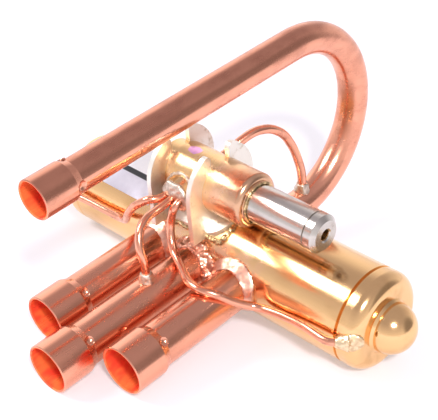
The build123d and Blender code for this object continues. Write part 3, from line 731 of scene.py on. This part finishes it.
bpy.ops.object.select_all(action="DESELECT")
bpy.ops.mesh.primitive_circle_add(vertices=48, radius=6.3 * MM, **on_seat(14))
seat_run = bpy.context.object
seat_run.name = "seat_run"
run_of_filler(seat_run, "pilot_body", 0.75, voxel=0.25, grain=2.0, height=0.9)
join_up(seat_run, silver_filler)

bpy.ops.object.select_all(action="DESELECT")
ball = {"segments": 32, "ring_count": 16, "radius": 6.2 * MM}
bpy.ops.mesh.primitive_uv_sphere_add(**ball, **on_seat(13.1))
seat_solder = bpy.context.object
seat_solder.name = "seat_solder"
flatter = {"value": (1, 1, 0.36), "orient_type": "LOCAL"}
bpy.ops.object.mode_set(mode="EDIT")
bpy.ops.mesh.select_all(action="SELECT")
bpy.ops.transform.resize(**flatter, center_override=seat_solder.location)
bpy.ops.object.mode_set(mode="OBJECT")
freeze(seat_solder, voxel=0.25, grain=3.4, height=1.8, sunk=0.45, rounds=4)
join_up(seat_solder, silver_filler)

# %% [markdown]
# Where the sleeve enters the barrel there is a thin ring of brazing metal. It has the same
# section all the way round, so a torus is its start, and freezing makes it uneven.

# %% Ring round the sleeve
ring = {"major_radius": 7.45 * MM, "minor_radius": 0.5 * MM}
round_x = {"location": ground(21.5, axis_y, axis_z), "rotation": (0, math.pi / 2, 0)}
bpy.ops.object.select_all(action="DESELECT")
bpy.ops.mesh.primitive_torus_add(major_segments=64, minor_segments=12, **ring, **round_x)
sleeve_run = bpy.context.object
sleeve_run.name = "sleeve_run"
freeze(sleeve_run, voxel=0.2, grain=2.5, height=0.5, rounds=3)
join_up(sleeve_run, brass_filler)

# %% [markdown]
# ## Thread, spring and label
#
# The hole in the sleeve's plug takes the coil's screw. The measured hole is plain, at tapping
# size, so its thread is added as a fine ridge: a small triangle, swept by a Screw modifier round
# the hole's axis, with both of its ends filled. A Screw modifier turns round the object's origin,
# so the triangle is moved away from it in edit mode.

# %% Thread in the plug
ridge, ridge_from_axis, thread_pitch, thread_turns = 0.34, 2.02, 0.8, 6
turn_steps = {"steps": 32, "render_steps": 32}
bpy.ops.object.select_all(action="DESELECT")
thread_start = ground(45.2, axis_y, axis_z)
bpy.ops.mesh.primitive_circle_add(vertices=3, radius=ridge * MM, location=thread_start)
thread = bpy.context.object
thread.name = "screw_thread"
bpy.ops.object.mode_set(mode="EDIT")
bpy.ops.mesh.select_all(action="SELECT")
bpy.ops.transform.translate(value=(0, ridge_from_axis * MM, 0))
bpy.ops.object.mode_set(mode="OBJECT")
sweep = {"axis": "X", "screw_offset": thread_pitch * MM, "iterations": thread_turns}
modify(thread, "SCREW", **sweep, **turn_steps)
bpy.ops.object.mode_set(mode="EDIT")
bpy.ops.mesh.select_all(action="SELECT")
bpy.ops.mesh.fill_holes(sides=0)
bpy.ops.mesh.normals_make_consistent(inside=False)
bpy.ops.object.mode_set(mode="OBJECT")
join_up(thread, thread_brass)

# %% [markdown]
# The slides and the piston seals are white, waxy plastic and show only when the valve is opened.
# A cloudy white with a soft shine is enough for them.

# %% Slides and seals
white_plastic = Finish("white_plastic", metallic=0.0)
cloud = white_plastic.noise(3.0)
white_plastic.set(
    colour=white_plastic.blend(cloud, (0.86, 0.84, 0.78), (0.78, 0.75, 0.68)),
    roughness=0.42 + 0.12 * cloud,
    bump=(white_plastic.noise(0.4), 0.0001),
)
wear(white_plastic, "slide_block", "pilot_slide", "piston_seal_left", "piston_seal_right")

# %% [markdown]
# The coil's pull moves the plunger in, and the return spring behind it gets shorter. A solid that
# only rides on the valve would let the plunger cut through its coils. A copy of the spring with a
# mesh of its own stands in for it here, and it rides on the valve.

# %% Return spring
spring_wire = Finish("spring_wire")
drawn = spring_wire.noise(0.3)
spring_wire.set(
    colour=spring_wire.blend(drawn, (0.55, 0.55, 0.56), (0.36, 0.35, 0.34)),
    roughness=0.25 + 0.1 * drawn,
)
wear(spring_wire, "pilot_spring")
return_spring = merged_copy("pilot_spring", "return_spring")
join_up(return_spring, spring_wire)
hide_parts("pilot_spring")
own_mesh(return_spring)

# %% [markdown]
# The label is left bare: white film with one dark bar across it and a greyer foot, as a generic
# plate has, and no words. The bar and the foot are masks on the valve's own coordinates, so they
# stay straight on the curved film.

# %% Label film
bar_y, foot_y, bar_start_x = -0.0061, -0.0069, -0.0500
label_film = Finish("label_film", metallic=0.0)
across_label = label_film.along("Y")
past_start = label_film.along("X").steps(bar_start_x, bar_start_x + 0.0004)
bar = (across_label - bar_y).size().steps(0.0012, 0.0009) * past_start
foot_of_label = across_label.steps(foot_y, foot_y - 0.0004)
paper = label_film.noise(2.0, detail=4.0)
paper_white = label_film.blend(paper, (0.88, 0.87, 0.90), (0.80, 0.79, 0.83))
paper_grey = label_film.blend(paper, (0.70, 0.68, 0.76), (0.60, 0.58, 0.66))
bare = label_film.blend(foot_of_label, paper_white, paper_grey)
label_film.set(
    colour=label_film.blend(bar, bare, (0.04, 0.04, 0.045)),
    roughness=0.38 + 0.1 * paper,
)
wear(label_film, "body_label")
